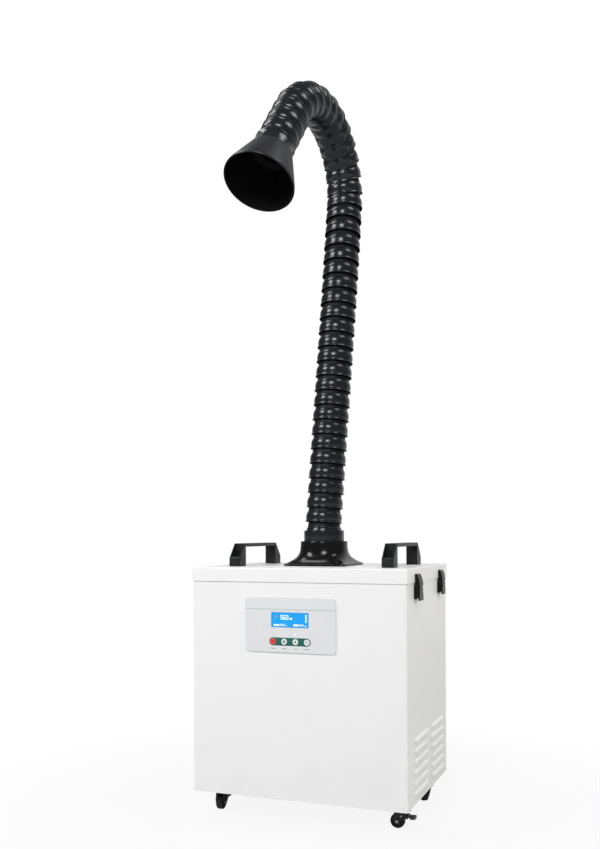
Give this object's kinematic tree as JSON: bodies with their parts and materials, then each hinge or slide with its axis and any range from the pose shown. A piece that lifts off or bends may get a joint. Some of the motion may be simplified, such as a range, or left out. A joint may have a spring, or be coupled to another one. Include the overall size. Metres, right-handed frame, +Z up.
{
  "type": "mobile fume extractor",
  "caption": "White steel filter cabinet on swivel casters, with a black ball-jointed suction arm that ends in a conical hood, carrying handles, side latches and a front control panel.",
  "frame": {"origin": "middle of the base pan's underside, on the cabinet's centre line", "axes": "+X to the cabinet's right as seen from the front, +Y to its back, +Z up"},
  "size_m": [0.4594, 0.5106, 1.4437],
  "materials": {
    "white_steel": "satin powder coat",
    "zinc_steel": "zinc plated",
    "filter_media": "pleated fibre",
    "grey_plastic": "matt",
    "motor_body": "dark coated",
    "panel_film": "satin film",
    "display_blue": "backlit",
    "key_red": "satin",
    "key_white": "satin",
    "board_green": "solder mask",
    "rubber": "matt",
    "black_plastic": "semi-gloss"
  },
  "bodies": {
    "cabinet": {"cabinet_shell": "white_steel", "rear_panel": "white_steel", "base_pan": "zinc_steel", "filter_shelf": "zinc_steel", "main_filter": "filter_media", "pre_filter": "filter_media", "blower_housing": "zinc_steel", "blower_motor": "motor_body", "control_board": "board_green", "power_inlet": "black_plastic", "control_panel": "panel_film", "display": "display_blue", "latch_base_right_front": "black_plastic", "latch_base_right_rear": "black_plastic", "latch_base_left_front": "black_plastic", "latch_base_left_rear": "black_plastic"},
    "lid": {"lid": "white_steel", "lid_gasket": "rubber", "handle_left": "black_plastic", "handle_right": "black_plastic", "duct_flange": "black_plastic", "latch_claw_right_front": "black_plastic", "latch_claw_right_rear": "black_plastic", "latch_claw_left_front": "black_plastic", "latch_claw_left_rear": "black_plastic"},
    "arm_collar": {"arm_collar": "black_plastic"},
    "arm_section_01": {"arm_section_01": "black_plastic"},
    "arm_section_02": {"arm_section_02": "black_plastic"},
    "arm_section_03": {"arm_section_03": "black_plastic"},
    "arm_section_04": {"arm_section_04": "black_plastic"},
    "arm_section_05": {"arm_section_05": "black_plastic"},
    "arm_section_06": {"arm_section_06": "black_plastic"},
    "arm_section_07": {"arm_section_07": "black_plastic"},
    "arm_section_08": {"arm_section_08": "black_plastic"},
    "arm_section_09": {"arm_section_09": "black_plastic"},
    "arm_section_10": {"arm_section_10": "black_plastic"},
    "arm_section_11": {"arm_section_11": "black_plastic"},
    "arm_section_12": {"arm_section_12": "black_plastic"},
    "arm_section_13": {"arm_section_13": "black_plastic"},
    "hood": {"hood": "black_plastic"},
    "latch_lever_right_front": {"latch_lever_right_front": "black_plastic"},
    "latch_lever_right_rear": {"latch_lever_right_rear": "black_plastic"},
    "latch_lever_left_front": {"latch_lever_left_front": "black_plastic"},
    "latch_lever_left_rear": {"latch_lever_left_rear": "black_plastic"},
    "caster_fork_front_left": {"caster_fork_front_left": "black_plastic"},
    "caster_wheel_front_left": {"caster_wheel_front_left": "rubber"},
    "brake_pedal_front_left": {"brake_pedal_front_left": "grey_plastic"},
    "caster_fork_front_right": {"caster_fork_front_right": "black_plastic"},
    "caster_wheel_front_right": {"caster_wheel_front_right": "rubber"},
    "brake_pedal_front_right": {"brake_pedal_front_right": "grey_plastic"},
    "caster_fork_rear_left": {"caster_fork_rear_left": "black_plastic"},
    "caster_wheel_rear_left": {"caster_wheel_rear_left": "rubber"},
    "caster_fork_rear_right": {"caster_fork_rear_right": "black_plastic"},
    "caster_wheel_rear_right": {"caster_wheel_rear_right": "rubber"},
    "impeller": {"impeller": "grey_plastic"},
    "button_1": {"button_1": "key_red"},
    "button_2": {"button_2": "key_white"},
    "button_3": {"button_3": "key_white"},
    "button_4": {"button_4": "key_white"}
  },
  "joints": [
    {"name": "arm_swivel", "type": "hinge", "parent": "lid", "child": "arm_collar", "pos_m": [0, 0, 0.49], "axis": [0, 0, 1], "continuous": true},
    {"name": "arm_bend_01", "type": "hinge", "parent": "arm_collar", "child": "arm_section_01", "pos_m": [0, 0, 0.538], "axis": [1, 0, 0], "range_deg": [-9, 12]},
    {"name": "arm_bend_02", "type": "hinge", "parent": "arm_section_01", "child": "arm_section_02", "pos_m": [0.00634, 0.00838, 0.65874], "axis": [0, 1, 0], "range_deg": [-13, 13]},
    {"name": "arm_bend_03", "type": "hinge", "parent": "arm_section_02", "child": "arm_section_03", "pos_m": [0.01269, 0.01676, 0.77949], "axis": [1, 0, 0], "range_deg": [-13, 13]},
    {"name": "arm_bend_04", "type": "hinge", "parent": "arm_section_03", "child": "arm_section_04", "pos_m": [0.01903, 0.02514, 0.90023], "axis": [0, 1, 0], "range_deg": [-13, 13]},
    {"name": "arm_bend_05", "type": "hinge", "parent": "arm_section_04", "child": "arm_section_05", "pos_m": [0.02364, 0.03168, 0.99078], "axis": [1, 0, 0], "range_deg": [-13, 13]},
    {"name": "arm_bend_06", "type": "hinge", "parent": "arm_section_05", "child": "arm_section_06", "pos_m": [0.02692, 0.04054, 1.08118], "axis": [0, 1, 0], "range_deg": [-13, 13]},
    {"name": "arm_bend_07", "type": "hinge", "parent": "arm_section_06", "child": "arm_section_07", "pos_m": [0.02865, 0.05211, 1.17132], "axis": [0.9962, -0.0866, 0], "range_deg": [-13, 13]},
    {"name": "arm_bend_08", "type": "hinge", "parent": "arm_section_07", "child": "arm_section_08", "pos_m": [0.02795, 0.05151, 1.26127], "axis": [0.9962, -0.0866, 0], "range_deg": [-26, 0.2]},
    {"name": "arm_bend_09", "type": "hinge", "parent": "arm_section_08", "child": "arm_section_09", "pos_m": [0.02246, -0.00304, 1.33175], "axis": [0.9962, -0.0866, 0], "range_deg": [-26, 0.2]},
    {"name": "arm_bend_10", "type": "hinge", "parent": "arm_section_09", "child": "arm_section_10", "pos_m": [0.01705, -0.05966, 1.35147], "axis": [0.9962, -0.0866, 0], "range_deg": [-26, 0.2]},
    {"name": "arm_bend_11", "type": "hinge", "parent": "arm_section_10", "child": "arm_section_11", "pos_m": [0.01127, -0.11911, 1.34391], "axis": [0.9989, 0.0471, 0], "range_deg": [-25, 0.2]},
    {"name": "arm_bend_12", "type": "hinge", "parent": "arm_section_11", "child": "arm_section_12", "pos_m": [0.00505, -0.16903, 1.31084], "axis": [0.9989, 0.0471, 0], "range_deg": [-25, 0.2]},
    {"name": "arm_bend_13", "type": "hinge", "parent": "arm_section_12", "child": "arm_section_13", "pos_m": [-0.00188, -0.20407, 1.2619], "axis": [0.9989, 0.0471, 0], "range_deg": [-13, 13]},
    {"name": "hood_tilt", "type": "hinge", "parent": "arm_section_13", "child": "hood", "pos_m": [-0.00886, -0.23809, 1.21224], "axis": [0.9874, -0.1547, -0.0327], "range_deg": [-16.5, 9]},
    {"name": "lid_lift", "type": "slide", "parent": "cabinet", "child": "lid", "axis": [0, 0, 1], "range_m": [0, 0.2]},
    {"name": "latch_lever_right_front_swing", "type": "hinge", "parent": "cabinet", "child": "latch_lever_right_front", "pos_m": [0.2247, -0.097, 0.4002], "axis": [0, -1, 0], "range_deg": [0, 88]},
    {"name": "latch_lever_right_rear_swing", "type": "hinge", "parent": "cabinet", "child": "latch_lever_right_rear", "pos_m": [0.2247, 0.097, 0.4002], "axis": [0, -1, 0], "range_deg": [0, 88]},
    {"name": "latch_lever_left_front_swing", "type": "hinge", "parent": "cabinet", "child": "latch_lever_left_front", "pos_m": [-0.2247, -0.097, 0.4002], "axis": [0, 1, 0], "range_deg": [0, 88]},
    {"name": "latch_lever_left_rear_swing", "type": "hinge", "parent": "cabinet", "child": "latch_lever_left_rear", "pos_m": [-0.2247, 0.097, 0.4002], "axis": [0, 1, 0], "range_deg": [0, 88]},
    {"name": "caster_swivel_front_left", "type": "hinge", "parent": "cabinet", "child": "caster_fork_front_left", "pos_m": [-0.189, -0.092, -0.004], "axis": [0, 0, 1], "continuous": true},
    {"name": "wheel_spin_front_left", "type": "hinge", "parent": "caster_fork_front_left", "child": "caster_wheel_front_left", "pos_m": [-0.189, -0.101, -0.041], "axis": [1, 0, 0], "continuous": true},
    {"name": "brake_press_front_left", "type": "hinge", "parent": "caster_fork_front_left", "child": "brake_pedal_front_left", "pos_m": [-0.189, -0.082, -0.0313], "axis": [-1, 0, 0], "range_deg": [0, 18]},
    {"name": "caster_swivel_front_right", "type": "hinge", "parent": "cabinet", "child": "caster_fork_front_right", "pos_m": [0.189, -0.092, -0.004], "axis": [0, 0, 1], "continuous": true},
    {"name": "wheel_spin_front_right", "type": "hinge", "parent": "caster_fork_front_right", "child": "caster_wheel_front_right", "pos_m": [0.18, -0.092, -0.041], "axis": [0, -1, 0], "continuous": true},
    {"name": "brake_press_front_right", "type": "hinge", "parent": "caster_fork_front_right", "child": "brake_pedal_front_right", "pos_m": [0.199, -0.092, -0.0313], "axis": [0, 1, 0], "range_deg": [0, 18]},
    {"name": "caster_swivel_rear_left", "type": "hinge", "parent": "cabinet", "child": "caster_fork_rear_left", "pos_m": [-0.189, 0.092, -0.004], "axis": [0, 0, 1], "continuous": true},
    {"name": "wheel_spin_rear_left", "type": "hinge", "parent": "caster_fork_rear_left", "child": "caster_wheel_rear_left", "pos_m": [-0.18592, 0.10046, -0.041], "axis": [-0.9397, 0.342, 0], "continuous": true},
    {"name": "caster_swivel_rear_right", "type": "hinge", "parent": "cabinet", "child": "caster_fork_rear_right", "pos_m": [0.189, 0.092, -0.004], "axis": [0, 0, 1], "continuous": true},
    {"name": "wheel_spin_rear_right", "type": "hinge", "parent": "caster_fork_rear_right", "child": "caster_wheel_rear_right", "pos_m": [0.1845, 0.09979, -0.041], "axis": [-0.866, -0.5, 0], "continuous": true},
    {"name": "impeller_spin", "type": "hinge", "parent": "cabinet", "child": "impeller", "pos_m": [-0.04, 0.022, 0.08], "axis": [0, 0, 1], "continuous": true},
    {"name": "button_1_press", "type": "slide", "parent": "cabinet", "child": "button_1", "axis": [0, 1, 0], "range_m": [0, 0.0008], "stiffness_N_per_m": 1500},
    {"name": "button_2_press", "type": "slide", "parent": "cabinet", "child": "button_2", "axis": [0, 1, 0], "range_m": [0, 0.0008], "stiffness_N_per_m": 1500},
    {"name": "button_3_press", "type": "slide", "parent": "cabinet", "child": "button_3", "axis": [0, 1, 0], "range_m": [0, 0.0008], "stiffness_N_per_m": 1500},
    {"name": "button_4_press", "type": "slide", "parent": "cabinet", "child": "button_4", "axis": [0, 1, 0], "range_m": [0, 0.0008], "stiffness_N_per_m": 1500}
  ]
}
